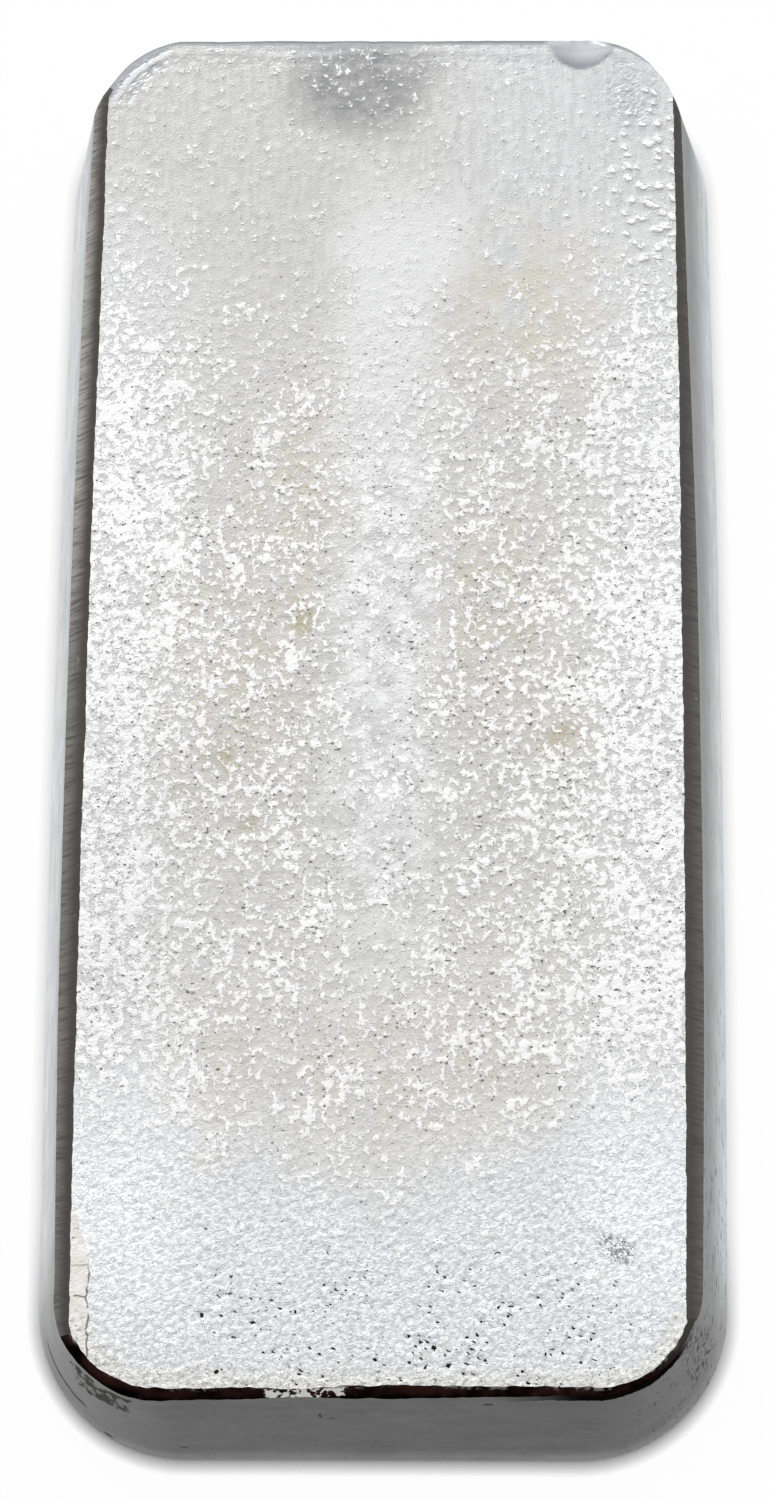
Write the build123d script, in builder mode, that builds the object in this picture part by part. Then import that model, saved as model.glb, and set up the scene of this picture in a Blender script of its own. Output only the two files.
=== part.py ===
"""Cast silver ingot of about one kilogram, lying on its wide pour side.

The narrow face, which lay on the floor of the mould, is up. The walls lean out towards the base by the
draft of the mould, and the corners open from a tight radius at the face to a wide one at the base. The rim
of the face is broken all round, and its two long edges are filed flat as well.
Millimetres, +Z up, +Y along the bar, with the origin under the middle of the base.
"""

import os
from math import radians, tan

from build123d import *

# Mould: outline at the base, depth, lean of the walls, bow of the long sides and corner radii
base_length = 124.4
base_width = 57.3
thickness = 14.8
draft_angle = 11.5
side_bow = 0.6
base_corner_radius = 12.5
face_corner_radius = 8.0

# Edges: round pour rim under the bar, broken rim of the face, and filing of its long edges
pour_rim_radius = 1.0
rim_break = 0.8
rim_break_angle = 45.0
file_depth = 0.35
file_angle = 45.0

# Dent in the far edge of the face, as a ball would press it
dent_ball_radius = 3.3
dent_depth = 0.8
dent_from_middle = 16.3

wall_inset = thickness * tan(radians(draft_angle))
rim_inset = wall_inset + rim_break
rim_corner_radius = face_corner_radius - rim_break
skirt_flare = thickness * tan(radians(rim_break_angle))
filed_half_width = base_width / 2 - rim_inset - file_depth
file_reach = base_width / 2
file_drop = file_reach * tan(radians(file_angle))

os.makedirs("parts", exist_ok=True)


def bowed_outline(height, inset, corner_radius):
    """Outline of the bar at a height, set in from the base outline: rounded corners, long sides bowed out."""
    half_width = base_width / 2 - inset
    half_length = base_length / 2 - inset
    with BuildSketch(Plane.XY.offset(height)) as outline:
        with BuildLine():
            right_side = ThreePointArc(
                (half_width - side_bow, -half_length),
                (half_width, 0),
                (half_width - side_bow, half_length),
            )
            left_side = ThreePointArc(
                (side_bow - half_width, half_length),
                (-half_width, 0),
                (side_bow - half_width, -half_length),
            )
            Line(right_side @ 1, left_side @ 0)
            Line(left_side @ 1, right_side @ 0)
        make_face()
        fillet(outline.vertices(), radius=corner_radius)
    return outline.sketch


base_outline = bowed_outline(0, 0, base_corner_radius)
face_outline = bowed_outline(thickness, wall_inset, face_corner_radius)
rim_outline = bowed_outline(thickness, rim_inset, rim_corner_radius)
skirt_outline = bowed_outline(0, rim_inset - skirt_flare, rim_corner_radius + skirt_flare)

with BuildPart() as ingot:
    # Drafted body, from the outline on the floor to the smaller outline of the face
    loft([base_outline, face_outline], ruled=True)

    # Broken rim: what lies outside a skirt that leans out from the rim of the face is taken off
    loft([skirt_outline, rim_outline], ruled=True, mode=Mode.INTERSECT)

    # Round pour rim under the bar
    fillet(ingot.faces().sort_by(Axis.Z)[0].edges(), radius=pour_rim_radius)

    # Long edges, filed flat from end to end
    with BuildSketch(Plane.XZ):
        with BuildLine():
            Polyline(
                (filed_half_width, thickness),
                (filed_half_width + file_reach, thickness),
                (filed_half_width + file_reach, thickness - file_drop),
                close=True,
            )
        make_face()
        mirror(about=Plane.YZ)
    extrude(amount=base_length / 2, both=True, mode=Mode.SUBTRACT)

    # Dent in the far edge
    with Locations(
        (dent_from_middle, base_length / 2 - rim_inset, thickness + dent_ball_radius - dent_depth)
    ):
        Sphere(dent_ball_radius, mode=Mode.SUBTRACT)

ingot.part.label = "ingot"
export_step(ingot.part, "parts/ingot.step")
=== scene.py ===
# %% [markdown]
# # A cast silver ingot
# This lesson gives an imported CAD bar the looks of a poured silver ingot: a pebbled cast face, filed long
# edges, a dark broken rim and smooth drafted walls. The CAD model is the frame. It says how big the bar is
# and where it lies, and the detailed mesh made here is shown in its place.

from math import cos, radians, sin, tan

import bpy
import numpy as np
from mathutils import Matrix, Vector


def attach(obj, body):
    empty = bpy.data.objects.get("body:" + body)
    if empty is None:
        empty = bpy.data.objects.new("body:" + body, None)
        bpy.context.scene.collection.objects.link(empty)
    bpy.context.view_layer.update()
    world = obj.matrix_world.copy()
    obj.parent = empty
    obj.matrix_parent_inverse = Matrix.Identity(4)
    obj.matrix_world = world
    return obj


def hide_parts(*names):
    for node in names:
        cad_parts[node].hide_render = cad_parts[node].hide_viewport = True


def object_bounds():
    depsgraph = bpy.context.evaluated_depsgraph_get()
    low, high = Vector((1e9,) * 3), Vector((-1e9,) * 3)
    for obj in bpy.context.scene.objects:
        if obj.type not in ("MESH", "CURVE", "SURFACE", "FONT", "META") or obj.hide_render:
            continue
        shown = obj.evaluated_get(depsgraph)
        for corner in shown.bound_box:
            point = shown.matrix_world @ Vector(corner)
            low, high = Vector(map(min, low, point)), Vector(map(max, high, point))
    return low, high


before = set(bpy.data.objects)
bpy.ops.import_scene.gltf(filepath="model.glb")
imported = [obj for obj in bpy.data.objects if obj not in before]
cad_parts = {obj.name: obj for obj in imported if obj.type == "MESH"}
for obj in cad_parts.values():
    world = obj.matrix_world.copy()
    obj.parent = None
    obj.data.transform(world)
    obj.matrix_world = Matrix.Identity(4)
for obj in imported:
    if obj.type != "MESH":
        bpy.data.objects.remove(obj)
cad_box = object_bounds()
MM = 0.001
print("CAD box, mm:", [[round(v / MM, 2) for v in corner] for corner in cad_box])

# %% [markdown]
# ## A grid that fits a rounded bar
# The face of the bar is a rectangle with round corners. A subdivided plane would give jagged corners, and a
# filled outline long thin triangles. Here a regular grid of small squares is bent to the outline instead.
# The block of cells in each corner is mapped onto a quarter disc, so every cell stays nearly square and the
# relief of the cast skin has vertices everywhere. The border of the same grid places the rings of the wall.

# %% Grid lines and corner blocks
CELLS_ACROSS = 168
CELLS_ALONG = 400
CORNER_CELLS = 25
TINY = 1e-9


def grid_lines(count):
    """For lines 0 to count: place on the straight part and reach into a corner block, from -1 to 1."""
    line = np.arange(count + 1.0)
    straight = np.clip(2 * (line - CORNER_CELLS) / (count - 2 * CORNER_CELLS) - 1, -1, 1)
    past_last = np.clip((line - count + CORNER_CELLS) / CORNER_CELLS, 0, 1)
    before_first = np.clip((CORNER_CELLS - line) / CORNER_CELLS, 0, 1)
    return straight, past_last - before_first


lines_x, lines_y = grid_lines(CELLS_ACROSS), grid_lines(CELLS_ALONG)
straight_x, straight_y = np.meshgrid(lines_x[0], lines_y[0])
corner_x, corner_y = np.meshgrid(lines_x[1], lines_y[1])
disc_x = corner_x * np.sqrt(1 - corner_y**2 / 2)
disc_y = corner_y * np.sqrt(1 - corner_x**2 / 2)
to_chord = np.hypot(disc_x, disc_y) / np.maximum(np.abs(disc_x) + np.abs(disc_y), TINY)


def plan(half_width, half_length, radius, flatness=0.0):
    """x and y of every grid point in mm. Flatness draws the corners from an arc towards a straight cut."""
    bend = radius * (1 - flatness + flatness * to_chord)
    x = straight_x * (half_width - radius) + disc_x * bend
    y = straight_y * (half_length - radius) + disc_y * bend
    return x, y


def corner_blend(near_left, near_right, far_left, far_right):
    """A value for every grid point: one number in each corner block, and an even change between them."""
    right = (1 + straight_x) / 2
    far = (1 + straight_y) / 2
    near_row = near_left * (1 - right) + near_right * right
    far_row = far_left * (1 - right) + far_right * right
    return near_row * (1 - far) + far_row * far


grid_number = np.arange(straight_x.size).reshape(straight_x.shape)
border = np.concatenate(
    [grid_number[:-1, -1], grid_number[-1, :0:-1], grid_number[:0:-1, 0], grid_number[0, :-1]]
)
outward = np.column_stack([disc_x.ravel()[border], disc_y.ravel()[border]])
print("grid points:", grid_number.size, "border points:", len(border))

# %% [markdown]
# ## Outlines of the bar
# The walls of the mould lean, so the outline is larger at the floor than at the face, and its corners open
# from a tight radius to a wide one. The long sides bow out a little. The rim of the face is broken all
# round, and a file has taken a flat off the two long edges, which cuts the rim off at a fixed half width
# and runs out where the corners turn away.

# %% Outlines, as half width, half length and corner radius in mm
THICKNESS = cad_box[1][2] / MM
BASE_HALF_WIDTH = 28.65
BASE_HALF_LENGTH = 62.2
BASE_CORNER_RADIUS = 12.5
FACE_CORNER_RADIUS = 8.0
DRAFT = radians(11.5)
RIM_BREAK = 0.8
FILE_DEPTH = 0.35
WALL_INSET = round(THICKNESS * tan(DRAFT), 2)
RIM_INSET = WALL_INSET + RIM_BREAK
FILED_HALF_WIDTH = BASE_HALF_WIDTH - RIM_INSET - FILE_DEPTH


def outline(inset, radius):
    """An outline of the bar, set in from that of its base."""
    return BASE_HALF_WIDTH - inset, BASE_HALF_LENGTH - inset, radius


FLOOR_OUTLINE = outline(0.0, BASE_CORNER_RADIUS)
WALL_TOP_OUTLINE = outline(WALL_INSET, FACE_CORNER_RADIUS)
RIM_OUTLINE = outline(RIM_INSET, FACE_CORNER_RADIUS - RIM_BREAK)
print("rim outline, mm:", np.round(RIM_OUTLINE, 2), "filed to:", round(FILED_HALF_WIDTH, 2))

# %% [markdown]
# No mould is quite true. The corners of the face differ a little, and the far left one is flattened. The
# face lies a hair nearer to one end, its sides lean and its near edge is drawn in. The tables make the top
# of the wall stand further out or in from place to place, so that the broken edge is wider or narrower
# there. Each table has places along an edge, in mm, and then the amounts at those places.

# %% The true shape of this mould
FAR_LEFT_FLATNESS = 0.26
CORNER_SHARES = corner_blend(1.0, 1.06, 0.86, 1.0)
CORNER_FLATNESS = corner_blend(0.0, 0.0, FAR_LEFT_FLATNESS, 0.0)
LEFT_SPREAD = (
    (-58.0, -54.5, -52.5, -50.0, -27.0, 35.0, 53.0),
    (0.25, 0.45, 0.3, 0.2, 0.3, 0.2, 0.0),
)
RIGHT_SPREAD = (
    (-58.0, -53.8, -52.4, -27.0, 10.0, 35.0),
    (-0.3, -0.3, -0.1, 0.05, 0.0, -0.2),
)
NEAR_SPREAD = (
    (-24.0, -19.0, -13.0, -7.0, 1.0, 8.0, 14.0, 24.0),
    (0.2, 0.2, 0.05, -0.08, -0.12, -0.2, -0.3, -0.2),
)
WALL_BOW = 0.6
FACE_BOW = 0.33
LEFT_LEAN = 0.12
RIGHT_LEAN = 0.25
FAR_TUCK = 0.5
FAR_TURN = (0.0, 0.5)
FACE_SHIFT = -0.3
NEAR_PULL = ((-20.0, -6.0, -1.5, 14.0, 20.0), (0.08, 0.05, 0.33, 0.29, 0.12))
NEAR_PULL_ZONE = (-54.5, -58.4)


def bowed(x, y, half_width, half_length, bow):
    """x of points whose long sides bow out: full width in the middle, drawn in towards the ends."""
    return x * (1 - bow / half_width * (y / half_length) ** 2)


def wall_ring(half_width, half_length, radius, flatness=0.0):
    """The border points of an outline of the wall, as rows of x and y."""
    x, y = plan(half_width, half_length, radius, flatness)
    x = bowed(x, y, half_width, half_length, WALL_BOW)
    return np.column_stack([x.ravel()[border], y.ravel()[border]])


def smooth_step(value, start, end):
    """0 before start, 1 past end and a smooth rise between them."""
    share = np.clip((value - start) / (end - start), 0, 1)
    return share * share * (3 - 2 * share)


def with_corners(half_width, half_length, radius):
    """An outline whose four corners differ as those of the face do."""
    return half_width, half_length, radius * CORNER_SHARES, CORNER_FLATNESS


floor_ring = wall_ring(*FLOOR_OUTLINE)
top_ring = wall_ring(*with_corners(*WALL_TOP_OUTLINE))
top_ring -= outward * (FAR_TUCK * smooth_step(outward[:, 1], *FAR_TURN))[:, None]
left_spread = np.interp(top_ring[:, 1], *LEFT_SPREAD)
right_spread = np.interp(top_ring[:, 1], *RIGHT_SPREAD)
near_spread = np.interp(top_ring[:, 0], *NEAR_SPREAD)
top_ring[:, 0] += outward[:, 0] * np.where(outward[:, 0] < 0, left_spread, right_spread)
top_ring[:, 1] += np.minimum(outward[:, 1], 0) * near_spread


def on_wall(height):
    """Border points on the ruled wall at a height in mm, or at one height for each point."""
    share = np.broadcast_to(np.asarray(height) / THICKNESS, len(border))[:, None]
    return floor_ring * (1 - share) + top_ring * share


face_x, face_y = plan(*with_corners(*RIM_OUTLINE))
half_row = np.where(face_x < 0, -face_x[:, :1], face_x[:, -1:])
face_x = face_x * np.minimum(1, FILED_HALF_WIDTH / half_row)
face_x = bowed(face_x, face_y, FILED_HALF_WIDTH, RIM_OUTLINE[1], FACE_BOW)
lean = np.where(face_x < 0, LEFT_LEAN, RIGHT_LEAN) * np.abs(face_x) / FILED_HALF_WIDTH
face_x = face_x + lean * face_y / RIM_OUTLINE[1]
face_y = face_y + FACE_SHIFT
face_y = face_y + np.interp(face_x, *NEAR_PULL) * smooth_step(face_y, *NEAR_PULL_ZONE)
print("face, mm:", np.round([np.ptp(face_x), np.ptp(face_y)], 2))

# %% [markdown]
# ## The hand of the caster
# A filed or broken edge is never straight. Its wander is a sum of a few sine waves with random phases from
# a fixed seed, so that it repeats on every run. The file stopped short of the corners, a little earlier on
# the right than on the left. The far edge wanders less than the others.

# %% Wander of the rim
LEFT_FILED = (-54.2, 53.9)
RIGHT_FILED = (-53.2, 52.7)
FAR_SIDE = 0.3
FAR_CALM = 0.4
WANDER_SEED = 11

rng = np.random.default_rng(WANDER_SEED)


def wander(place, longest, shortest, size, waves=14):
    """A smooth random line over place, in mm, whose usual height is size."""
    lengths = np.geomspace(longest, shortest, waves)
    phases = rng.uniform(0, 2 * np.pi, waves)
    turns = 2 * np.pi * place[..., None] / lengths + phases
    return size * np.sin(turns).sum(-1) * np.sqrt(2 / waves)


steps = np.linalg.norm(np.diff(top_ring, axis=0, append=top_ring[:1]), axis=1)
run = np.concatenate([[0], np.cumsum(steps)[:-1]])
on_right = outward[:, :1] > 0
file_start, file_end = np.where(on_right, RIGHT_FILED, LEFT_FILED).T
border_y = face_y.ravel()[border]
filed = (border_y > file_start) & (border_y < file_end)
filed_wander = wander(run, longest=40, shortest=0.8, size=0.03)
broken_wander = wander(run, longest=14, shortest=1.2, size=0.04)
rim_wander = np.where(filed, filed_wander, broken_wander)
rim_wander = rim_wander * np.where(outward[:, 1] > FAR_SIDE, FAR_CALM, 1.0)
rim_x = face_x.ravel()[border] + outward[:, 0] * rim_wander
rim_y = face_y.ravel()[border] + outward[:, 1] * rim_wander
face_x.ravel()[border] = rim_x
face_y.ravel()[border] = rim_y
print("rim wander, mm:", np.round([rim_wander.min(), rim_wander.max()], 3))

# %% [markdown]
# ## Rings down the side
# From the rim of the face the surface goes down the broken edge, down the wall and round the pour rim to
# the floor. Each level is one ring with a point under every border point of the face, so the side is made
# of quads in columns. The broken edge falls at 45 degrees until it meets the wall.

# %% Rings from the floor up
POUR_RIM_RADIUS = 1.0
LEAST_EDGE_WIDTH = 0.1
ROUND_STEPS = 5
WALL_STEPS = 9
EDGE_STEPS = 3

rim_points = np.column_stack([rim_x, rim_y])
edge_width = np.maximum(((top_ring - rim_points) * outward).sum(1), LEAST_EDGE_WIDTH)
foot_wander = wander(run, longest=12, shortest=0.8, size=0.035)
edge_foot = THICKNESS - edge_width / (1 - tan(DRAFT)) + foot_wander
rings = []
tangent = POUR_RIM_RADIUS / tan((np.pi / 2 - DRAFT) / 2)
for turn in np.linspace(-np.pi / 2, DRAFT, ROUND_STEPS + 1):
    height = POUR_RIM_RADIUS * (1 + sin(turn))
    inset = tangent - POUR_RIM_RADIUS * cos(turn) - height * tan(DRAFT)
    rings.append((on_wall(height) - inset * outward, np.full(len(border), height)))
wall_foot = height
for step in np.linspace(0, 1, WALL_STEPS + 1)[1:]:
    height = wall_foot + (edge_foot - wall_foot) * step
    rings.append((on_wall(height), height))
foot_points = rings[-1][0]
for step in np.linspace(0, 1, EDGE_STEPS + 1)[1:-1]:
    points = foot_points * (1 - step) + rim_points * step
    rings.append((points, edge_foot * (1 - step) + THICKNESS * step))
print("rings:", len(rings), "broken edge, mm wide:", np.round([edge_width.min(), edge_width.max()], 2))

# %% [markdown]
# ## The dent
# Something round has pressed into the far edge. Points that lie inside a ball there are let down onto it.
# The ball is drawn out a little, most of all to the right.

# %% Points of the blank, with the dent pressed in
DENT_BALL_RADIUS = 3.3
DENT_DEPTH = 0.8
DENT_PLACE = (16.3, RIM_OUTLINE[1])
DENT_SPREAD_LEFT = 1.07
DENT_SPREAD_RIGHT = 1.25
DENT_SPREAD_ALONG = 1.15

points = [np.column_stack([face_x.ravel(), face_y.ravel(), np.full(face_x.size, THICKNESS)])]
points += [np.column_stack([xy, z]) for xy, z in rings]
points = np.concatenate(points)
aside, along = (points[:, :2] - DENT_PLACE).T
aside = aside / np.where(aside < 0, DENT_SPREAD_LEFT, DENT_SPREAD_RIGHT)
from_dent = np.hypot(aside, along / DENT_SPREAD_ALONG)
ball_floor = DENT_BALL_RADIUS**2 - np.minimum(from_dent, DENT_BALL_RADIUS) ** 2
ball_floor = THICKNESS + DENT_BALL_RADIUS - DENT_DEPTH - np.sqrt(ball_floor)
dented = (from_dent < DENT_BALL_RADIUS) & (points[:, 2] > ball_floor)
points[dented, 2] = ball_floor[dented]
print("points:", len(points), "in the dent:", dented.sum())

# %% [markdown]
# ## Faces, and which finish each one takes
# The face of the bar, the filed edges, the dark broken rim, the walls and the underside each have a finish
# of their own. A number on every face says which, and the node tree further down turns it into a material.

# %% Faces and zones
CAST, FILED, DARK_RIM, WALL, POURED = range(5)

first = grid_number[:-1, :-1].ravel()
row = CELLS_ACROSS + 1
face_quads = np.column_stack([first, first + 1, first + row + 1, first + row])

ring_starts = grid_number.size + len(border) * np.arange(len(rings))
ring_numbers = [start + np.arange(len(border)) for start in ring_starts] + [border]
side_quads = []
side_zones = []
edge_zone = np.where(filed, FILED, DARK_RIM)
for level, (low, high) in enumerate(zip(ring_numbers[:-1], ring_numbers[1:])):
    side_quads.append(np.column_stack([low, np.roll(low, -1), np.roll(high, -1), high]))
    on_edge = level >= ROUND_STEPS + WALL_STEPS
    side_zones.append(edge_zone if on_edge else np.full(len(border), WALL))
side_quads = np.concatenate(side_quads)
underside = ring_numbers[0][::-1]
zones = np.concatenate([np.full(len(face_quads), CAST), *side_zones, [POURED]])

quads = np.concatenate([face_quads, side_quads]).tolist()
blank = bpy.data.meshes.new("ingot_blank")
blank.from_pydata((points * MM).tolist(), [], quads + [underside.tolist()])
blank.attributes.new("zone", "INT", "FACE").data.foreach_set("value", zones.astype(np.int32))
print("faces:", len(blank.polygons), "triangles:", sum(len(p.vertices) - 2 for p in blank.polygons))

# %% [markdown]
# ## Smooth shading with crisp edges
# Everything is shaded smooth, so that the relief looks poured. The rim of the face and the foot of the
# broken edge are real edges, so they are marked sharp.

# %% Mark the sharp edges
blank.polygons.foreach_set("use_smooth", np.ones(len(blank.polygons), bool))
edge_ends = np.empty(2 * len(blank.edges), np.int32)
blank.edges.foreach_get("vertices", edge_ends)
edge_ends = edge_ends.reshape(-1, 2)
sharp = np.zeros(len(blank.edges), bool)
for ring in (border, ring_numbers[ROUND_STEPS + WALL_STEPS]):
    in_ring = np.zeros(len(points), bool)
    in_ring[ring] = True
    sharp |= in_ring[edge_ends].all(1)
blank.attributes.new("sharp_edge", "BOOLEAN", "EDGE").data.foreach_set("value", sharp)
print("sharp edges:", sharp.sum())

# %% [markdown]
# ## A map for painted copies
# A game engine needs the finish as pictures, which are painted through a UV map. The face is laid out flat
# at full height, the four sides are unrolled beside it and the underside, which nobody sees, is kept small.
# Each strip of a side is given by its left edge, its near end and its length.

# %% Lay out the map
MAP_SIDE = 126.0
FACE_MIDDLE = (25.5, MAP_SIDE / 2)
UNDERSIDE_MIDDLE = (115.0, 30.0)
UNDERSIDE_SCALE = 0.35
SIDE_STRIPS = ((52.0, 3.0, 118.0), (72.5, 3.0, 56.0), (93.0, 3.0, 118.0), (72.5, 64.0, 56.0))

side_lengths = (CELLS_ALONG, CELLS_ACROSS, CELLS_ALONG, CELLS_ACROSS)
strip_of = np.repeat(range(4), side_lengths)
strip_start = np.cumsum((0,) + side_lengths)[:4][strip_of]
strip_place = np.array(SIDE_STRIPS)[strip_of]
step_along = strip_place[:, 2] / np.array(side_lengths)[strip_of]
column = np.arange(len(border)) - strip_start
girth = np.array([points[r][CELLS_ALONG // 2] for r in ring_numbers])
depth = np.concatenate([[0], np.cumsum(np.linalg.norm(np.diff(girth, axis=0), axis=1))])
spots = [points[face_quads.ravel(), :2] + FACE_MIDDLE]
for level in range(len(rings)):
    near_end = strip_place[:, 1] + column * step_along
    far_end = near_end + step_along
    low_side = strip_place[:, 0] + depth[level]
    high_side = strip_place[:, 0] + depth[level + 1]
    corners = [(low_side, near_end), (low_side, far_end), (high_side, far_end), (high_side, near_end)]
    spots.append(np.stack([np.column_stack(c) for c in corners], 1).reshape(-1, 2))
spots.append(points[underside, :2] * UNDERSIDE_SCALE + UNDERSIDE_MIDDLE)
spots = np.concatenate(spots) / MAP_SIDE
blank.uv_layers.new(name="OFBake").data.foreach_set("uv", spots.ravel())
print("map spans:", np.round(spots.min(0), 3), np.round(spots.max(0), 3))

# %% [markdown]
# ## Nodes in short
# The relief is made with Geometry Nodes and the finish with shader nodes. Math, noise and cell textures are
# the same nodes in both, so a few helpers can write both trees, and the pebbles of the relief lie exactly
# under the pebbles of the colour.

# %% Helpers that do arithmetic with nodes
def put(tree, kind, values=(), **settings):
    """A new node of a kind, with its settings and, by name or number, a value or a link for its inputs."""
    node = tree.nodes.new(kind)
    for name, value in settings.items():
        setattr(node, name, value)
    for key, value in dict(values).items():
        if isinstance(value, bpy.types.NodeSocket):
            tree.links.new(value, node.inputs[key])
        else:
            node.inputs[key].default_value = value
    return node


def calc(tree, operation, *terms):
    """One step of arithmetic."""
    return put(tree, "ShaderNodeMath", enumerate(terms), operation=operation).outputs[0]


def plus(tree, value, *terms):
    """A value with several fields added to it, each times its weight."""
    for field, weight in terms:
        value = calc(tree, "MULTIPLY_ADD", field, weight, value)
    return value


def both(tree, *terms):
    """Several shares multiplied."""
    product = terms[0]
    for term in terms[1:]:
        product = calc(tree, "MULTIPLY", product, term)
    return product


def most(tree, *terms):
    """The largest of several values."""
    largest = terms[0]
    for term in terms[1:]:
        largest = calc(tree, "MAXIMUM", largest, term)
    return largest


def slope(tree, value, start, end, low=0.0, high=1.0):
    """A smooth step from low, where value is at start, to high, where it is at end."""
    values = {0: value, 1: start, 2: end, 3: low, 4: high}
    return put(tree, "ShaderNodeMapRange", values, interpolation_type="SMOOTHSTEP").outputs[0]


def line_at(tree, value, middle, half):
    """A soft line: 1 where value is in the middle, 0 further off than half."""
    off = calc(tree, "ABSOLUTE", calc(tree, "SUBTRACT", value, middle))
    return slope(tree, off, half, 0.4 * half)


def between(tree, share, first, second):
    """Two numbers mixed by a share."""
    return put(tree, "ShaderNodeMix", {0: share, 2: first, 3: second}, data_type="FLOAT").outputs[0]


def blend(tree, share, first, second):
    """Two colours mixed by a share."""
    return put(tree, "ShaderNodeMix", {0: share, 6: first, 7: second}, data_type="RGBA").outputs[2]


# %% [markdown]
# A texture is asked for its value at a place, so it is stretched, turned or frayed by doing that to the
# place first. Noise is worked out on the plane for the face, which lies flat, and in space for the sides.

# %% Helpers for places and textures
def xyz(tree, place):
    """The three coordinates of a place."""
    return put(tree, "ShaderNodeSeparateXYZ", {0: place}).outputs


def stretched(tree, place, scale):
    """A place with its coordinates multiplied."""
    return put(tree, "ShaderNodeVectorMath", {0: place, 1: scale}, operation="MULTIPLY").outputs[0]


def shifted(tree, place, step):
    """A place moved by a step."""
    return put(tree, "ShaderNodeVectorMath", {0: place, 1: step}, operation="ADD").outputs[0]


def turned(tree, place, degrees):
    """A place turned about the upright axis."""
    values = {"Vector": place, "Angle": radians(degrees)}
    return put(tree, "ShaderNodeVectorRotate", values, rotation_type="Z_AXIS").outputs[0]


def noise(tree, place, scale, detail=2.0, roughness=0.5, distortion=0.0, space="2D"):
    """Cloudy noise from 0 to 1 on the plane or in space, with about scale clouds to the millimetre."""
    values = {"Vector": place, "Scale": scale, "Detail": detail}
    values |= {"Roughness": roughness, "Distortion": distortion}
    return put(tree, "ShaderNodeTexNoise", values, noise_dimensions=space).outputs[0]


def clouds(tree, place, scale, detail, roughness=0.5):
    """Cloudy noise in space, for the sides."""
    return noise(tree, place, scale, detail, roughness, space="3D")


def swing(tree, *settings, **more):
    """Noise about zero, from -0.5 to 0.5."""
    return calc(tree, "SUBTRACT", noise(tree, *settings, **more), 0.5)


def warped(tree, place, amount, length):
    """A place pushed about by noise: by amount of length, over distances of about length, in mm."""
    values = {"Vector": place, "Scale": 1 / length, "Detail": 2.0}
    push = put(tree, "ShaderNodeTexNoise", values, noise_dimensions="2D").outputs["Color"]
    centred = shifted(tree, push, (-0.5, -0.5, -0.5))
    reach = 2 * amount * length
    return shifted(tree, place, stretched(tree, centred, (reach, reach, 0)))


def cells(tree, place, scale):
    """Scattered points: the distance to the nearest, in cells, and a random number for it."""
    values = {"Vector": place, "Scale": scale}
    node = put(tree, "ShaderNodeTexVoronoi", values, voronoi_dimensions="2D")
    return node.outputs["Distance"], xyz(tree, node.outputs["Color"])[0]


def spot(tree, place, centre, radii, inner=0.4):
    """A soft oval: 1 in its middle, 0 from its border on."""
    moved = shifted(tree, place, (-centre[0], -centre[1], 0))
    squeezed = stretched(tree, moved, (1 / radii[0], 1 / radii[1], 0))
    far_out = put(tree, "ShaderNodeVectorMath", {0: squeezed}, operation="LENGTH").outputs["Value"]
    return slope(tree, far_out, 1.0, inner)


# %% [markdown]
# ## Where the cast skin changes
# The face isn't the same all over. It is whiter along the sides and at the near end, smooth at the far end
# and along a streak down the middle, and toned yellow in patches. The largest gas pits, and the cracked
# strip of skin along the near left edge, are put where they are on the bar. They are smaller than the cells
# of the mesh, so the relief and the colour each work them out from the place.

# %% Small marks of the face
PITS = (
    ((19.9, 11.5), (0.16, 0.32)),
    ((3.2, -55.0), (0.2, 0.26)),
    ((4.3, -55.4), (0.17, 0.19)),
    ((3.7, -56.9), (0.16, 0.17)),
    ((5.4, -56.8), (0.25, 0.18)),
    ((6.9, -56.7), (0.28, 0.15)),
    ((7.7, -54.4), (0.18, 0.15)),
    ((8.3, -56.4), (0.17, 0.2)),
    ((9.4, -52.2), (0.13, 0.24)),
    ((10.2, -52.1), (0.28, 0.12)),
    ((4.9, -50.9), (0.3, 0.13)),
    ((12.6, -52.0), (0.22, 0.14)),
    ((13.0, -55.9), (0.14, 0.2)),
    ((4.6, -49.4), (0.2, 0.11)),
    ((9.3, -47.9), (0.25, 0.11)),
    ((-13.7, -45.9), (0.13, 0.13)),
    ((-11.8, -51.2), (0.3, 0.12)),
    ((-13.9, -52.9), (0.3, 0.14)),
    ((-12.7, -57.3), (0.22, 0.18)),
    ((-6.6, -52.6), (0.18, 0.15)),
    ((-11.7, -49.8), (0.16, 0.1)),
)
STRIP_EDGE = -22.9
STRIP_BLUR = 0.08
STRIP_CRACKS = ((-48.95, 0.55), (-51.4, 1.0))


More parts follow.
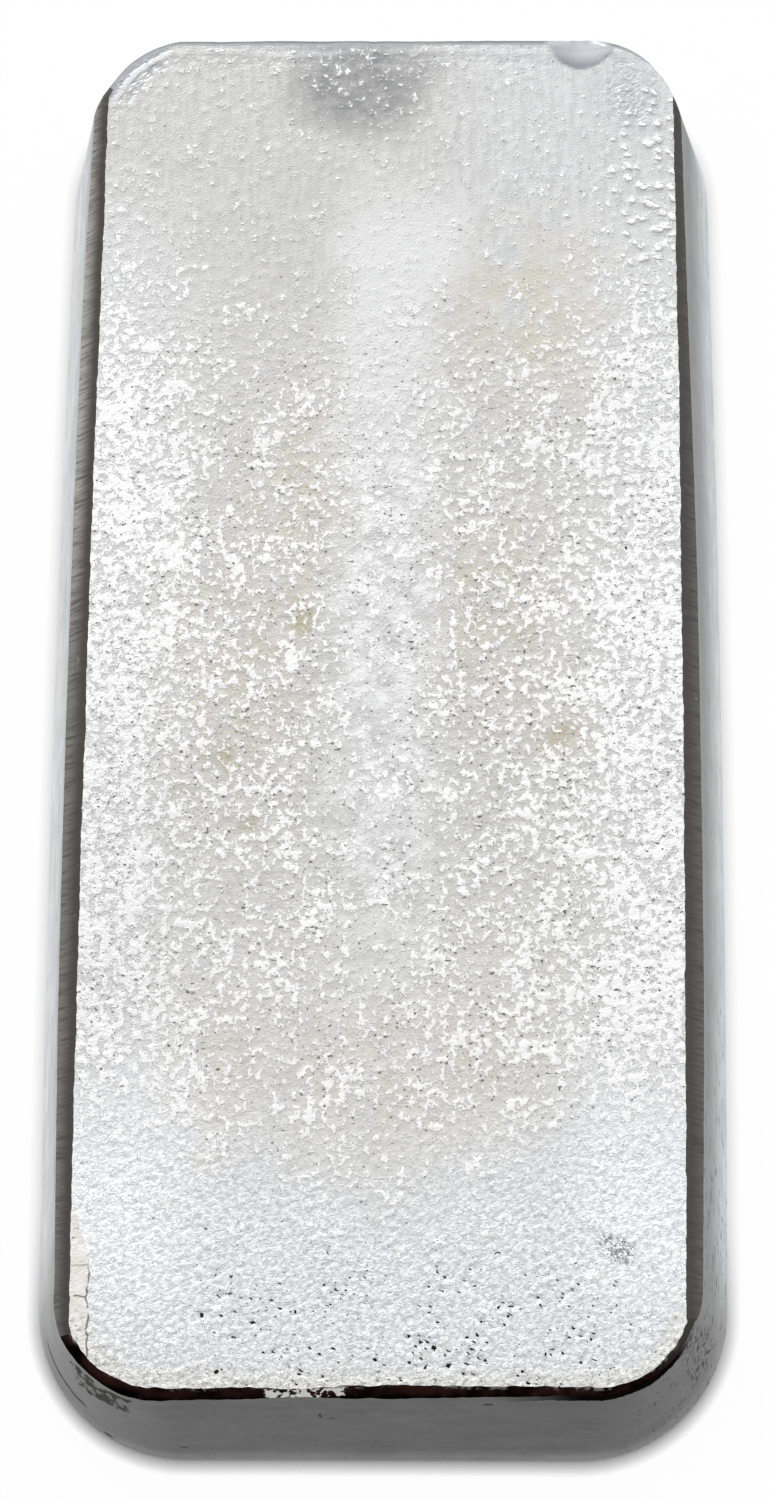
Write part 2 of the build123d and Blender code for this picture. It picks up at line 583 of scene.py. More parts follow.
def face_marks(tree, place):
    """The place on the face and its smallest marks, from 0 to 1, at a place in mm."""
    x, y, _ = xyz(tree, place)
    mask = {"x": x, "y": y}
    chipped = warped(tree, place, 0.6, 0.4)
    mask["pits"] = most(tree, *[spot(tree, chipped, *oval, 0.6) for oval in PITS])
    jog = swing(tree, shifted(tree, place, (0, 40, 0)), 0.8, 4, 0.6)
    narrowed = slope(tree, y, -49.5, -41.5, 0.0, 1.8)
    past_edge = calc(tree, "ADD", plus(tree, x, (jog, 0.7)), narrowed)
    mask["strip"] = slope(tree, past_edge, STRIP_EDGE + STRIP_BLUR, STRIP_EDGE - STRIP_BLUR)
    seam = both(tree, line_at(tree, past_edge, STRIP_EDGE, 0.11), slope(tree, y, -48.0, -50.0))
    seam = both(tree, seam, slope(tree, y, -57.6, -56.6))
    wavy = plus(tree, y, (jog, 0.35))
    cracks = most(tree, *[both(tree, line_at(tree, wavy, at, 0.09), depth) for at, depth in STRIP_CRACKS])
    broken = slope(tree, noise(tree, place, 1.3, 2), 0.3, 0.42)
    mask["crack"] = both(tree, most(tree, seam, both(tree, cracks, mask["strip"])), broken)
    return mask


# %% [markdown]
# The zones are smooth steps of the place on the face, and slow noise makes their borders wander. They change
# slowly, so they are worked out once for every point of the mesh, by the Geometry Nodes further down, and
# are stored there. The finish then reads them from the mesh, which renders faster than working them out for
# each ray of light. An oval is given by its centre and its radii in mm, some with the share that is full.

# %% Zones of the face
SEED = 4.0
SOFT_OVALS = {
    "pebbly": ((23.5, 45.0), (7.0, 19.0), 0.3),
    "bright": ((14.0, -20.0), (13.0, 32.0), 0.3),
    "patch": ((-2.2, 54.6), (9.2, 7.0), 0.3),
}
STREAK_HEAD = ((1.8, 40.0), (7.0, 9.5))
FOLD_OVAL = ((20.6, 53.0), (3.4, 4.4), 0.2)
DENT_OVAL = ((16.6, 58.3), (2.95, 2.8), 0.88)
SCUFF_OVAL = ((37.5, -34.6), (2.8, 1.2), 0.5)
SCUFF_TURN = 26
YELLOW_SPOTS = (
    ((13.0, 32.0), (11.5, 13.0)),
    ((-6.5, 16.0), (9.0, 14.0)),
    ((-13.5, 0.0), (10.0, 18.0)),
    ((9.5, 6.0), (9.5, 14.0)),
    ((14.4, -5.0), (4.6, 4.2)),
    ((2.0, -33.0), (15.0, 10.0)),
    ((-16.0, -34.0), (8.0, 11.0)),
)
TAN_SPOTS = (
    ((14.4, -5.3), (1.8, 1.5)),
    ((-16.6, -9.7), (2.1, 1.3)),
    ((-13.2, -6.6), (2.0, 1.8)),
    ((-6.9, 5.4), (1.8, 2.4)),
    ((-10.8, -12.2), (1.2, 1.6)),
    ((-6.9, -41.1), (0.6, 0.7)),
)


def face_zones(tree, place, mask):
    """Adds the masks of the zones of the cast face, from 0 to 1, at a place in mm."""
    x, y = mask["x"], mask["y"]
    drift = swing(tree, shifted(tree, place, (SEED, 90, 0)), 0.13, 4)
    mask["drift"] = drift
    wide = plus(tree, calc(tree, "ABSOLUTE", x), (drift, 7.0))
    long = plus(tree, y, (drift, 10.0))
    bent = warped(tree, place, 0.2, 9.0)
    torn = warped(tree, place, 0.9, 1.6)
    arched = plus(tree, long, (slope(tree, wide, 6.0, 20.0), -5.0))
    mask["near"] = slope(tree, arched, -33.0, -49.0)
    near_side = both(tree, slope(tree, wide, 12.0, 20.0), slope(tree, arched, -29.0, -41.0))
    mask["near_side"] = both(tree, near_side, slope(tree, y, -56.0, -48.0))
    side = both(tree, slope(tree, wide, 11.0, 23.0), slope(tree, long, 50.0, 34.0))
    mask["side"] = both(tree, side, calc(tree, "SUBTRACT", 1.0, mask["near"]))
    mask["far"] = slope(tree, long, 21.0, 43.0)
    for name, oval in SOFT_OVALS.items():
        mask[name] = spot(tree, bent, *oval)
    off_streak = calc(tree, "ABSOLUTE", plus(tree, x, (drift, 5.0)))
    streak = both(tree, slope(tree, off_streak, 6.5, 1.5), slope(tree, y, -44.0, -4.0))
    streak = most(tree, streak, spot(tree, bent, *STREAK_HEAD))
    mask["streak"] = both(tree, streak, slope(tree, y, 50.0, 38.0))
    mask["fold"] = spot(tree, torn, *FOLD_OVAL)
    mask["dent"] = spot(tree, warped(tree, place, 0.12, 2.0), *DENT_OVAL)
    mask["yellow"] = most(tree, *[spot(tree, bent, *oval, 0.2) for oval in YELLOW_SPOTS])
    mask["tan"] = most(tree, *[spot(tree, torn, *oval, 0.2) for oval in TAN_SPOTS])
    mask["scuff"] = spot(tree, turned(tree, torn, SCUFF_TURN), *SCUFF_OVAL)
    dull = both(tree, slope(tree, x, -10.0, -19.0), slope(tree, y, 14.0, -8.0))
    mask["dull"] = both(tree, dull, slope(tree, y, -36.0, -24.0))


# %% [markdown]
# Two zones follow the outline of the face. The near brim is worn, and the far left corner has a ridge, a
# gully inside it and a bluish lip outside it. They follow the distance from the centre of the round corner,
# which is drawn towards a straight cut as the corner itself is.

# %% Zones along the outline
NEAR_CORNER_CENTRE = (17.3, -51.6)
FAR_CORNER_CENTRE = (-18.4, 51.7)


def into_corner(tree, mask, centre, sides):
    """How far a place lies from the centre of a round corner, out along x, along y and straight."""
    reaches = []
    for name, middle, side in zip("xy", centre, sides):
        step = both(tree, calc(tree, "SUBTRACT", mask[name], middle), side)
        reaches.append(calc(tree, "MAXIMUM", step, 0.0))
    along_x, along_y = reaches
    squares = plus(tree, both(tree, along_y, along_y), (along_x, along_x))
    return along_x, along_y, calc(tree, "SQRT", squares)


def outline_zones(tree, place, mask):
    """Adds the masks of the near brim and of the far left corner, from 0 to 1, at a place in mm."""
    centre_x, centre_y = NEAR_CORNER_CENTRE
    brim = slope(tree, plus(tree, mask["y"], (mask["drift"], 3.0)), -56.2, -58.7)
    for side in (-1, 1):
        _, nearer, straight = into_corner(tree, mask, (centre_x * side, centre_y), (side, -1))
        brim = most(tree, brim, both(tree, slope(tree, straight, 4.4, 6.9), slope(tree, nearer, 0.0, 1.5)))
    mask["brim"] = brim

    leftward, farther, straight = into_corner(tree, mask, FAR_CORNER_CENTRE, (-1, 1))
    to_cut = calc(tree, "ADD", leftward, farther)
    reach = both(tree, straight, 1 - FAR_LEFT_FLATNESS)
    reach = plus(tree, reach, (to_cut, FAR_LEFT_FLATNESS), (mask["drift"], 1.2))
    turning = both(tree, slope(tree, farther, 0.0, 2.0), slope(tree, leftward, 0.0, 1.5, 0.3, 1.0))
    patchy = slope(tree, noise(tree, place, 1.2, 3), 0.4, 0.6)
    mask["ridge"] = both(tree, line_at(tree, reach, 5.7, 0.4), turning)
    mask["gully"] = both(tree, line_at(tree, reach, 4.9, 0.7), turning, patchy)
    mask["lip"] = both(tree, slope(tree, reach, 5.85, 6.05), turning)


# %% [markdown]
# Three more fields gather the zones: how high the bar is that a flake has to clear, how rough the skin is
# and how many pebbles it has. A zone with a weight below zero lowers the bar and so has more flakes. The
# last list names the fields that the mesh keeps for the finish.

# %% What the zones do to the grain
FLAKE_BAR = 0.658
FLAKE_BARS = {
    "far": 0.12,
    "streak": 0.035,
    "bright": -0.02,
    "side": -0.08,
    "near": 0.065,
    "patch": -0.05,
    "dent": 0.3,
    "strip": 0.2,
}
ZONES = ("near", "near_side", "side", "far", "pebbly", "streak", "patch", "fold", "dent", "yellow", "tan")
ZONES += ("scuff", "dull", "brim", "ridge", "gully", "lip")
STORED = ZONES + ("flake_bar", "rough", "pebbles")


def from_seed(tree, place):
    """A place moved to this bar's own part of the noise."""
    return shifted(tree, place, (10 * SEED, 7 * SEED, 0))


def grain_zones(tree, place, mask):
    """Adds the fields that say how the grain changes from zone to zone, at a place in mm."""
    seeded = from_seed(tree, place)
    clump = noise(tree, seeded, 0.24, 3)
    plate = slope(tree, noise(tree, shifted(tree, seeded, (0, 50, 0)), 0.42, 3, 0.6), 0.54, 0.68)
    weights = [(mask[name], weight) for name, weight in FLAKE_BARS.items()]
    mask["flake_bar"] = plus(tree, FLAKE_BAR, (clump, -0.24), (plate, -0.09), *weights)
    rough = most(tree, mask["near"], both(tree, mask["side"], 0.8), 0.45)
    rough = both(tree, rough, slope(tree, mask["far"], 0.0, 1.0, 1.0, 0.25))
    rough = most(tree, rough, mask["fold"])
    mask["rough"] = both(tree, rough, slope(tree, mask["strip"], 0.0, 1.0, 1.0, 0.5))
    pebbles = most(tree, both(tree, mask["far"], 0.5), mask["pebbly"], both(tree, mask["patch"], 0.8))
    mask["pebbles"] = both(tree, pebbles, calc(tree, "SUBTRACT", 1.0, mask["dent"]))


# %% [markdown]
# ## Grain of the cast skin
# Molten silver that sets against a rough mould gets a skin of small raised flakes. They are the high parts
# of noise: a threshold that changes with the zone says how many stand out. The far end has a few round
# pebbles, which are scattered cells, and the near end has fine wrinkles and open gas pits. Dark specks
# gather on the near side of the flakes, partly dirt and partly painted shadow, and one scuff has curled
# hairs in it.

# %% Flakes, pebbles, wrinkles and pits
FLAKE_CLOUD = 1.5
FLAKE_ROUGHNESS = 0.68
FLAKE_DISTORTION = 0.2


def cast_grain(tree, place, mask, detail):
    """Fields of the grain, from 0 to 1, at a place in mm. More detail gives crisper flakes."""
    seeded = from_seed(tree, place)
    grain = {}
    flake_noise = (FLAKE_CLOUD, detail, FLAKE_ROUGHNESS, FLAKE_DISTORTION)
    cloud = noise(tree, seeded, *flake_noise)
    over = calc(tree, "SUBTRACT", cloud, mask["flake_bar"])
    grain["flake"] = slope(tree, over, -0.045, 0.055)

    away, chance = cells(tree, warped(tree, stretched(tree, seeded, (0.85, 1.15, 1.0)), 0.25, 2.0), 0.85)
    chance = plus(tree, chance, (mask["pebbly"], 0.5))
    size = both(tree, slope(tree, chance, 0.4, 1.0, 0.0, 0.36), mask["pebbles"])
    grain["pebble"] = slope(tree, calc(tree, "SUBTRACT", away, size), 0.0, -0.2)

    slanted = stretched(tree, turned(tree, seeded, -28), (0.88, 1.14, 1.0))
    grain["fold"] = swing(tree, slanted, 2.6, detail / 2, 0.5, 0.4)
    grain["wrinkle"] = both(tree, grain["fold"], mask["rough"])

    dots = noise(tree, stretched(tree, seeded, (0.8, 1.3, 1.0)), 2.8, 1.0)
    # Painted shadow: the specks gather where the flake cloud rises towards the far end, on the near side of
    # each flake.
    under = noise(tree, shifted(tree, seeded, (0.0, 0.22, 0.0)), *flake_noise)
    shaded = calc(tree, "SUBTRACT", under, cloud)
    swarm = swing(tree, shifted(tree, seeded, (70, 0, 0)), 0.3, 2)
    dots = plus(tree, dots, (mask["far"], -0.1), (mask["near"], -0.1), (shaded, 0.5), (swarm, 0.25))
    grain["speck"] = slope(tree, dots, 0.75, 0.79)

    chipped = warped(tree, stretched(tree, turned(tree, seeded, 22), (0.75, 1.5, 1.0)), 0.6, 0.4)
    away, chance = cells(tree, chipped, 1.6)
    size = both(tree, slope(tree, chance, 0.28, 1.0, 0.0, 0.22), slope(tree, mask["x"], -22.0, -10.0))
    size = both(tree, size, slope(tree, mask["x"], 22.0, 14.0, 0.5, 1.0))
    deep = both(tree, slope(tree, mask["y"], -42.0, -53.0), slope(tree, swarm, -0.12, 0.06, 0.45, 1.0))
    grain["hole"] = slope(tree, calc(tree, "SUBTRACT", away, both(tree, size, deep)), 0.0, -0.06)
    grain["pit"] = most(tree, grain["hole"], mask["pits"])

    curl = calc(tree, "ABSOLUTE", swing(tree, seeded, 2.2, 1.0))
    grain["curl"] = both(tree, slope(tree, curl, 0.07, 0.035), mask["scuff"])
    return grain


# %% [markdown]
# ## Finishes
# Every finish is metal, so its colour is what it reflects. Only soot and dirt are not. A finish is built up
# as paint would be: a ground first, then layers over it, each with a share that says where it shows.

# %% A metal and its layers
def metal(name, roughness):
    """A new metal material: the material, its node tree and its shader."""
    material = bpy.data.materials.new(name)
    material.use_nodes = True
    shader = material.node_tree.nodes["Principled BSDF"]
    shader.inputs["Metallic"].default_value = 1.0
    shader.inputs["Roughness"].default_value = roughness
    return material, material.node_tree, shader


def place_mm(tree):
    """The place on the object in mm."""
    coordinates = put(tree, "ShaderNodeTexCoord").outputs["Object"]
    return stretched(tree, coordinates, (1 / MM, 1 / MM, 1 / MM))


def grey(value, warm=0.0):
    """A grey that leans to yellow, or to blue if warm is below zero."""
    return (value * (1 + warm / 3), value, value * (1 - warm), 1)


def paint(tree, colour, *layers):
    """A colour with layers over it, each given by its share and its own colour."""
    for share, top in layers:
        colour = blend(tree, share, colour, top)
    return colour


def raised(tree, shader, height, depth):
    """Bump on a shader: depth in mm."""
    values = {"Height": height, "Distance": depth * MM, "Strength": 1.0}
    tree.links.new(put(tree, "ShaderNodeBump", values).outputs[0], shader.inputs["Normal"])


# %% [markdown]
# The ground of the cast face, between the flakes, is a dull grey that is yellow in patches. It is streaky at
# the far end, milky down the middle and wrinkled white at the near end, with one dark patch by the far edge.

# %% Ground of the cast face
COLOUR_DETAIL = 4.0

cast_face, tree, shader = metal("cast_face", roughness=0.4)
place = place_mm(tree)
mask = face_marks(tree, place)
for name in STORED:
    mask[name] = put(tree, "ShaderNodeAttribute", attribute_name="skin_" + name).outputs["Fac"]
x, y = mask["x"], mask["y"]
grain = cast_grain(tree, place, mask, COLOUR_DETAIL)
mottle = slope(tree, noise(tree, place, 0.6, 4, 0.65), 0.3, 0.7)
toned = both(tree, mask["yellow"], slope(tree, noise(tree, place, 0.35, 3), 0.32, 0.56))
poured = slope(tree, noise(tree, stretched(tree, place, (1.6, 0.4, 1.0)), 1.0, 3, 0.6), 0.3, 0.7)
milky = slope(tree, noise(tree, shifted(tree, place, (30, 0, 0)), 0.45, 4, 0.6), 0.3, 0.7)
milky = between(tree, slope(tree, y, 10.0, 32.0), milky, 0.45)
wrinkled = slope(tree, grain["fold"], -0.17, 0.15)

plain = blend(tree, mottle, grey(0.56, 0.025), grey(0.64, 0.02))
yellow = blend(tree, mottle, grey(0.54, 0.12), grey(0.61, 0.1))
far_left = blend(tree, poured, grey(0.53, 0.015), grey(0.6, 0.015))
far_right = blend(tree, poured, grey(0.58, -0.01), grey(0.66, -0.01))
far_skin = blend(tree, slope(tree, x, 0.0, 12.0), far_left, far_right)
far_skin = blend(tree, toned, far_skin, grey(0.58, 0.12))
streak = blend(tree, milky, grey(0.6, 0.0), grey(0.84, -0.005))
near_plain = blend(tree, wrinkled, grey(0.65, -0.045), grey(0.88, -0.02))
near_yellow = blend(tree, wrinkled, grey(0.62, 0.08), grey(0.86, 0.04))
near_side = blend(tree, wrinkled, grey(0.75, -0.03), grey(0.97, -0.015))
ground = paint(
    tree,
    plain,
    (toned, yellow),
    (both(tree, slope(tree, y, -8.0, -30.0), 0.35), grey(0.74, 0.04)),
    (mask["far"], far_skin),
    (mask["tan"], grey(0.46, 0.24)),
    (mask["streak"], streak),
    (mask["near"], blend(tree, toned, near_plain, near_yellow)),
    (mask["near_side"], near_side),
    (both(tree, mask["side"], 0.8), grey(0.68, -0.01)),
    (both(tree, mask["patch"], slope(tree, mottle, 0.0, 1.0, 1.0, 0.7)), grey(0.3, -0.01)),
    (both(tree, mask["fold"], wrinkled, 0.7), grey(0.42, -0.06)),
)

# %% [markdown]
# Over the ground come the white flakes and pebbles, the cream strip and brim, the bluish far corner, the
# dent, whose painted shade is darkest at its near side, and last the dark specks, partly dirt and partly
# painted shadow beside the flakes, and the dirt in cracks and pits. The finest grain is bump only, because
# it is smaller than the cells of the mesh.

# %% Flakes, edges and dirt of the cast face
white = blend(tree, mask["dull"], grey(0.94), grey(0.88))
pale = both(tree, slope(tree, y, 8.0, 24.0), slope(tree, x, -21.5, -18.0), 0.4)
white = blend(tree, most(tree, both(tree, mask["far"], 0.6), pale), white, grey(0.75, -0.01))
cream = blend(tree, mottle, grey(0.74, 0.06), grey(0.88, 0.035))
worn = both(tree, mask["brim"], slope(tree, noise(tree, place, 2.6, 3, 0.7), 0.53, 0.62))
# Painted shade in the dent: darkest at its near side, paler towards the far edge.
dent_shading = blend(tree, slope(tree, y, 56.0, 57.9), grey(0.3, -0.1), grey(0.53, -0.06))
colour = paint(
    tree,
    ground,
    (both(tree, grain["flake"], 0.92), white),
    (both(tree, grain["pebble"], 0.85), grey(0.95)),
    (both(tree, mask["strip"], slope(tree, y, -57.0, -53.0, 0.3, 1.0)), cream),
    (both(tree, mask["brim"], 0.5), cream),
    (both(tree, worn, 0.5), grey(0.24, 0.1)),
    (both(tree, mask["gully"], 0.8), grey(0.38, -0.08)),
    (both(tree, mask["ridge"], 0.5), grey(0.8, -0.03)),
    (both(tree, mask["lip"], 0.8), grey(0.33, -0.12)),
    (mask["dent"], dent_shading),
    # Dark specks, partly dirt and partly painted shadow beside the flakes.
    (both(tree, grain["speck"], 0.85), grey(0.11, 0.1)),
    (both(tree, grain["curl"], 0.75), grey(0.14)),
    (both(tree, mask["crack"], 0.85), grey(0.16, 0.1)),
    (grain["pit"], grey(0.02, 0.1)),
)
tree.links.new(colour, shader.inputs["Base Color"])
tree.links.new(slope(tree, mask["dent"], 0.0, 1.0, 0.4, 0.65), shader.inputs["Roughness"])
height = plus(
    tree,
    both(tree, noise(tree, place, 5.0, 2), 0.3),
    (grain["flake"], 0.5),
    (grain["wrinkle"], 0.9),
    (grain["pebble"], 1.2),
    (mask["ridge"], 0.7),
    (mask["gully"], -1.0),
    (grain["hole"], -1.5),
)
raised(tree, shader, height, depth=0.09)
print("nodes in the cast face:", len(tree.nodes))

# %% [markdown]
# The filed edges have fine marks across them, where the file was drawn over the edge. The bright cut metal
# is coloured dark, a painted reflection of a dark room, paler towards the wall and, on the left, towards the
# far end.

# %% Filed edge
filed_edge, tree, shader = metal("filed_edge", roughness=0.4)
place = place_mm(tree)
x, y, z = xyz(tree, place)
marks = clouds(tree, stretched(tree, place, (0.4, 4.5, 0.4)), 1.0, 3, 0.65)
# Painted reflection: the cut metal is coloured dark, paler towards the wall.
outer = slope(tree, z, THICKNESS - 0.25, THICKNESS - 1.7)
left_outer_tone = blend(tree, slope(tree, y, -5.0, 22.0), grey(0.21, 0.08), grey(0.42, 0.06))
left = blend(tree, outer, grey(0.07, 0.12), left_outer_tone)
right = blend(tree, outer, grey(0.078, 0.1), grey(0.14, 0.1))
cut = slope(tree, marks, 0.3, 0.58, 0.7, 0.0)
nicks = slope(tree, clouds(tree, place, 0.9, 4, 0.7), 0.66, 0.72)
colour = blend(tree, slope(tree, x, -10.0, 10.0), left, right)
colour = paint(tree, colour, (cut, grey(0.055, 0.12)), (nicks, grey(0.25, 0.08)))
tree.links.new(colour, shader.inputs["Base Color"])
raised(tree, shader, marks, depth=0.02)

# %% [markdown]
# The broken rim is coloured nearly black at the near end, a painted dark reflection as on the filed edges,
# with brown in it, worn spots along its upper edge and one stretch where torn bits of the white skin still
# hang over it. At the far end it is bluish metal, painted darker towards its foot as a shadow line.

# %% Dark broken rim
RIM_BLACK = (0.0015, 0.001, 0.001, 1)
RIM_BROWN = (0.026, 0.01, 0.008, 1)
CRUST = (0.02, 0.013, 0.011, 1)
TORN_START = -8.9
TORN_END = -2.4
TORN_BLUR = 0.1

dark_rim, tree, shader = metal("dark_rim", roughness=0.5)
shader.inputs["Specular IOR Level"].default_value = 0.0
place = place_mm(tree)
x, y, z = xyz(tree, place)
crust = clouds(tree, place, 1.6, 3, 0.6)
chips = clouds(tree, place, 2.2, 3, 0.65)
brown_share = slope(tree, clouds(tree, place, 0.2, 3, 0.6), 0.38, 0.58)
brown_share = both(tree, brown_share, slope(tree, z, THICKNESS - 0.85, THICKNESS - 0.3))
worn = both(tree, slope(tree, z, THICKNESS - 0.3, THICKNESS), slope(tree, chips, 0.46, 0.6))
worn = both(tree, worn, slope(tree, clouds(tree, place, 0.35, 2), 0.46, 0.58))
past_corner = calc(tree, "ADD", y, slope(tree, x, 5.0, -5.0, 0.0, -2.0))

frayed = plus(tree, x, (calc(tree, "SUBTRACT", chips, 0.5), 1.6))
torn = slope(tree, frayed, TORN_START, TORN_START + TORN_BLUR)
torn = both(tree, torn, slope(tree, frayed, TORN_END, TORN_END - TORN_BLUR), slope(tree, y, 0.0, -10.0))
bits = clouds(tree, shifted(tree, place, (3.0, 0, 0)), 1.4, 3, 0.65)
torn = both(tree, torn, slope(tree, bits, 0.45, 0.49))
ragged = plus(tree, z, (chips, 0.5))
above = slope(tree, ragged, THICKNESS - 0.42, THICKNESS - 0.34)
below = slope(tree, ragged, THICKNESS + 0.24, THICKNESS + 0.16)
torn = both(tree, torn, above, below)

far_end = slope(tree, y, 20.0, 50.0)
# Painted shadow line: the far rim is coloured darker towards its foot, and kept pale under the dent.
far_rim_tone = blend(tree, slope(tree, z, THICKNESS - 0.75, THICKNESS - 0.2), grey(0.17, -0.12), grey(0.4, -0.06))
far_rim_tone = blend(tree, spot(tree, place, DENT_PLACE, (3.2, 3.2), 0.7), far_rim_tone, grey(0.53, -0.06))
# Painted dark reflection: the near part of the rim is coloured nearly black, with brown in it.
colour = paint(
    tree,
    blend(tree, brown_share, RIM_BLACK, RIM_BROWN),
    (slope(tree, crust, 0.56, 0.7, 0.0, 0.6), CRUST),
    (both(tree, worn, 0.8), grey(0.3, 0.08)),
    (slope(tree, past_corner, -57.6, -53.6), grey(0.055, 0.05)),
    (torn, blend(tree, chips, grey(0.55, 0.03), grey(0.9))),
    (far_end, far_rim_tone),
)
tree.links.new(far_end, shader.inputs["Metallic"])
tree.links.new(colour, shader.inputs["Base Color"])
raised(tree, shader, both(tree, crust, slope(tree, y, 40.0, 20.0)), depth=0.06)

# %% [markdown]
# The walls lay against the smooth mould and have only faint clouds and drawn lines. The near wall is
# coloured dark, a painted shade. The side walls are coloured darker at the rim and paler towards the foot, a
# painted reflection of the floor, and the left one is painted paler than the right.

# %% Tone of the walls
# The tones are painted shade and reflection: the near wall is coloured dark, and the right wall darker than
# the left.
NEAR_TONE = 0.073
LEFT_TONE = 0.53
RIGHT_TONE = 0.145
SIDE_TINT = (0.945, 1.0, 1.03, 1)
SHADED_WALL_TINT = (1.0, 1.0, 0.99, 1)

mould_wall, tree, shader = metal("mould_wall", roughness=0.36)
shader.inputs["Specular IOR Level"].default_value = 0.0
place = place_mm(tree)
x, y, z = xyz(tree, place)
# Painted reflection: each side wall darkens towards the rim and pales towards the foot.
left = both(tree, slope(tree, z, 13.0, 0.5, LEFT_TONE, 0.7), slope(tree, z, 10.0, 13.2, 1.0, 0.75))
right = slope(tree, z, 12.0, 0.2, RIGHT_TONE, 0.64)
near = slope(tree, z, 3.8, 0.4, NEAR_TONE, 0.23)
# The share of the near wall, which is painted dark as shade.
near_shade_share = slope(tree, y, -42.0, -57.0)
tone = between(tree, near_shade_share, between(tree, slope(tree, x, -5.0, 5.0), left, right), near)
cloud = clouds(tree, place, 0.3, 4, 0.6)
drawn = clouds(tree, stretched(tree, place, (0.14, 0.14, 1.1)), 1.0, 5, 0.75)
tone = both(tree, tone, slope(tree, cloud, 0.3, 0.7, 0.88, 1.12), slope(tree, drawn, 0.3, 0.7, 0.86, 1.14))
tint = blend(tree, near_shade_share, SIDE_TINT, SHADED_WALL_TINT)
colour = put(tree, "ShaderNodeVectorMath", {0: tint, "Scale": tone}, operation="SCALE").outputs[0]
# A painted highlight: a pale line along the foot of the near wall.
foot_highlight = both(tree, line_at(tree, z, 1.2, 0.16), slope(tree, y, -50.0, -60.0))
colour = blend(tree, both(tree, foot_highlight, 0.4), colour, grey(0.42))

# %% [markdown]
# Handling has left marks: dashes along the right wall, a smudge at the near right corner, a scuff and a
# scratch at the near left one, and nicks in the near wall. Soot hangs under the right part of the near rim.
# Where there is dirt or soot the surface isn't metal.

# %% Marks on the walls
DIRT = grey(0.055, 0.05)
HANGING_SOOT = (0.004, 0.003, 0.003, 1)
SMUDGE_PLACE = (25.8, -54.9)
SCUFF_PLACE = (-22.0, -58.0)
SCRATCH_PLACE = (-25.5, -56.0)
WALL_NICKS = (
    ((-4.7, 10.5), (0.16, 0.65)),
    ((-3.8, 9.8), (0.4, 0.16)),
    ((-15.7, 3.8), (0.45, 0.25)),
    ((-22.0, 1.9), (0.5, 0.4)),
    ((8.5, 12.6), (0.5, 0.3)),
)

dashes = clouds(tree, stretched(tree, place, (2.0, 0.5, 2.0)), 1.3, 2, 0.6)
marked = most(tree, both(tree, slope(tree, x, 16.0, 24.0), slope(tree, y, -10.0, -45.0)), 0.25)
dashes = both(tree, slope(tree, dashes, 0.62, 0.67), marked, 0.95)
strokes = clouds(tree, stretched(tree, place, (2.0, 0.7, 0.8)), 2.2, 3, 0.6)
smudge = both(tree, spot(tree, place, SMUDGE_PLACE, (3.0, 2.6), 0.5), slope(tree, z, 3.0, 6.0))
smudge = both(tree, smudge, slope(tree, strokes, 0.5, 0.6), 0.75)
scuffs = clouds(tree, stretched(tree, turned(tree, place, 36), (0.8, 1.5, 0.6)), 1.2, 4, 0.65)
scuffed = both(tree, spot(tree, place, SCUFF_PLACE, (4.4, 3.8), 0.45), slope(tree, z, 7.0, 10.5))
scuffed = both(tree, scuffed, slope(tree, z, 13.9, 12.9), slope(tree, y, -50.0, -53.0))
over = plus(tree, scuffs, (scuffed, 0.28))
scuffed = both(tree, slope(tree, over, 0.74, 0.79), slope(tree, scuffed, 0.0, 0.1), 0.9)
scratch = line_at(tree, plus(tree, z, (scuffs, 0.8)), 5.4, 0.45)
scratch = both(tree, scratch, spot(tree, place, SCRATCH_PLACE, (3.0, 4.0), 0.7), 0.8)
upright = warped(tree, put(tree, "ShaderNodeCombineXYZ", {0: x, 1: z}).outputs[0], 0.5, 0.6)
nicks = most(tree, *[spot(tree, upright, *oval, 0.5) for oval in WALL_NICKS])
nicks = both(tree, nicks, slope(tree, y, -50.0, -56.0), 0.85)
dirt = most(tree, dashes, smudge, scuffed, scratch, nicks)
ragged = plus(tree, z, (clouds(tree, place, 0.9, 3, 0.6), 0.9))
soot = both(tree, slope(tree, ragged, 13.68, 13.8), slope(tree, y, -53.0, -56.0), slope(tree, x, 8.0, 16.0))
colour = paint(tree, colour, (dirt, DIRT), (soot, HANGING_SOOT))
tree.links.new(calc(tree, "SUBTRACT", 1.0, most(tree, dirt, soot)), shader.inputs["Metallic"])
tree.links.new(colour, shader.inputs["Base Color"])
raised(tree, shader, scuffs, depth=0.012)
print("nodes in the walls:", len(tree.nodes))

# %% [markdown]
# The underside cooled in the open and is plain dull metal.

# %% Underside
pour_side, tree, shader = metal("pour_side", roughness=0.4)
cloud = noise(tree, place_mm(tree), 0.12, 4)
tree.links.new(blend(tree, cloud, grey(0.42), grey(0.6)), shader.inputs["Base Color"])
finishes = {CAST: cast_face, FILED: filed_edge, DARK_RIM: dark_rim, WALL: mould_wall, POURED: pour_side}
print("finishes:", [m.name for m in finishes.values()])

# %% [markdown]
# ## The cast skin as Geometry Nodes
# The tree takes the smooth blank and lifts its face by the same fields that colour it. The heights, in mm,
# are inputs, so the skin can be made calmer or rougher without touching the tree. Walls get a slow ripple
# along their normal, which dies out at the foot so that the bar still lies flat, and the dark broken rim
# gets a crust.

# %% Inputs of the skin, and how far each zone moves
RELIEF_DETAIL = 1.0
HEIGHTS = {
    "Flake Height": 0.05,
    "Pebble Height": 0.14,
    "Wrinkle Height": 0.14,
    "Pit Depth": 0.25,
    "Wall Ripple": 0.12,
    "Rim Crust": 0.06,
}

